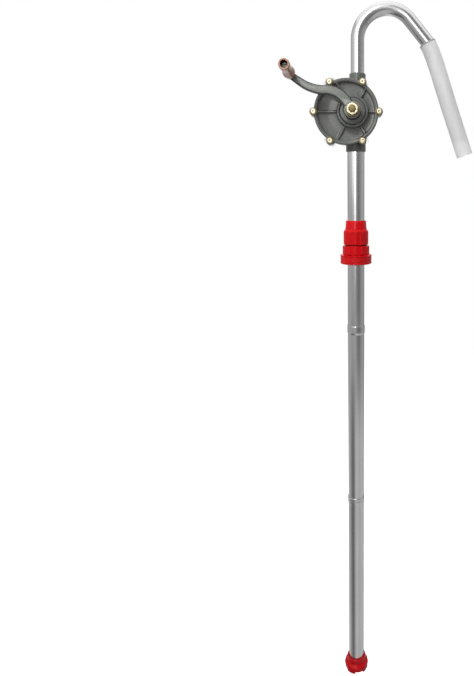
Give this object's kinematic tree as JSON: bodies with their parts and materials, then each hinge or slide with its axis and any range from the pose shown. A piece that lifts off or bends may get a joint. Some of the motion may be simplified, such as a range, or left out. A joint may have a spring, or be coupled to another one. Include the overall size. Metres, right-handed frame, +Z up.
{
  "type": "drum barrel pump",
  "caption": "Hand-cranked rotary vane drum pump: bung adaptor with gland, jointed suction tube with notched foot, and a curved steel spout ending in a short hose.",
  "frame": {"origin": "on the suction tube's axis, in the plane of the adaptor lip's underside, which seats on the drum", "axes": "+Z up along the suction tube, -Y towards the side the crank is on, +X towards the side the spout bends to at rest"},
  "size_m": [0.3401, 0.1691, 1.349],
  "materials": {
    "grey_paint": "satin, lightly rough as cast",
    "plated_steel": "bright plated tube",
    "yellow_zinc": "yellow zinc plated",
    "brown_zinc": "yellow zinc, darkened",
    "dull_steel": "turned",
    "spring_steel": "drawn wire",
    "machined_iron": "machined",
    "bronze": "bored bronze",
    "red_plastic": "glossy moulded",
    "dark_plastic": "matt",
    "rubber": "matt",
    "gasket_fibre": "pressed fibre",
    "vane_composite": "ground",
    "varnished_wood": "varnished, turned",
    "milky_hose": "translucent, soft"
  },
  "bodies": {
    "adaptor": {"adaptor_body": "red_plastic"},
    "gland_seal": {"gland_seal": "rubber"},
    "gland_ring": {"gland_ring": "dark_plastic"},
    "gland_nut": {"gland_nut": "red_plastic"},
    "pump": {"pump_housing": "grey_paint", "front_cover": "grey_paint", "cover_gasket": "gasket_fibre", "cover_washers": "brown_zinc", "cover_screws": "yellow_zinc", "front_bush": "bronze", "rear_bush": "bronze", "shaft_seal": "rubber", "spout_seal": "rubber", "suction_tube_upper": "plated_steel", "suction_tube_middle": "plated_steel", "suction_tube_lower": "plated_steel", "foot_strainer": "red_plastic"},
    "rotor": {"rotor": "machined_iron", "rotor_shaft": "brown_zinc", "rotor_pin": "dull_steel", "vane_springs": "spring_steel", "crank_arm": "grey_paint", "hub_washer": "brown_zinc", "hub_nut": "yellow_zinc", "grip_spindle": "dull_steel", "grip_washer": "dark_plastic"},
    "grip": {"grip_handle": "varnished_wood"},
    "vane_1": {"vane_1": "vane_composite"},
    "vane_2": {"vane_2": "vane_composite"},
    "vane_3": {"vane_3": "vane_composite"},
    "vane_4": {"vane_4": "vane_composite"},
    "spout": {"spout_pipe": "plated_steel", "discharge_hose": "milky_hose"}
  },
  "joints": [
    {"name": "pump_swivel", "type": "hinge", "parent": "adaptor", "child": "gland_seal", "pos_m": [0, 0, 0.035], "axis": [0, 0, 1], "continuous": true},
    {"name": "pump_slide", "type": "slide", "parent": "gland_seal", "child": "pump", "axis": [0, 0, 1], "range_m": [-0.12, 0.118]},
    {"name": "gland_lift", "type": "slide", "parent": "adaptor", "child": "gland_ring", "axis": [0, 0, 1], "range_m": [0, 0.00301]},
    {"name": "gland_nut_turn", "type": "hinge", "parent": "gland_ring", "child": "gland_nut", "pos_m": [0, 0, 0.04], "axis": [0, 0, 1], "range_deg": [0, 360]},
    {"name": "crank_spin", "type": "hinge", "parent": "pump", "child": "rotor", "pos_m": [-0.0056, 0, 0.261], "axis": [0, -1, 0], "continuous": true},
    {"name": "grip_spin", "type": "hinge", "parent": "rotor", "child": "grip", "pos_m": [-0.1131, -0.0911, 0.3205], "axis": [0, -1, 0], "continuous": true},
    {"name": "vane_1_slide", "type": "slide", "parent": "rotor", "child": "vane_1", "axis": [0.7071, 0, 0.7071], "range_m": [0, 0.0025]},
    {"name": "vane_2_slide", "type": "slide", "parent": "rotor", "child": "vane_2", "axis": [-0.7071, 0, 0.7071], "range_m": [0, 0.0025]},
    {"name": "vane_3_slide", "type": "slide", "parent": "rotor", "child": "vane_3", "axis": [-0.7071, 0, -0.7071], "range_m": [0, 0.0025]},
    {"name": "vane_4_slide", "type": "slide", "parent": "rotor", "child": "vane_4", "axis": [0.7071, 0, -0.7071], "range_m": [0, 0.0025]},
    {"name": "spout_swivel", "type": "hinge", "parent": "pump", "child": "spout", "pos_m": [0.003, 0, 0.325], "axis": [0, 0, 1], "range_deg": [-30, 180]}
  ],
  "couplings": [
    {"joint": "gland_lift", "follows": "gland_nut_turn", "m_per_rad": 0.00047746}
  ]
}
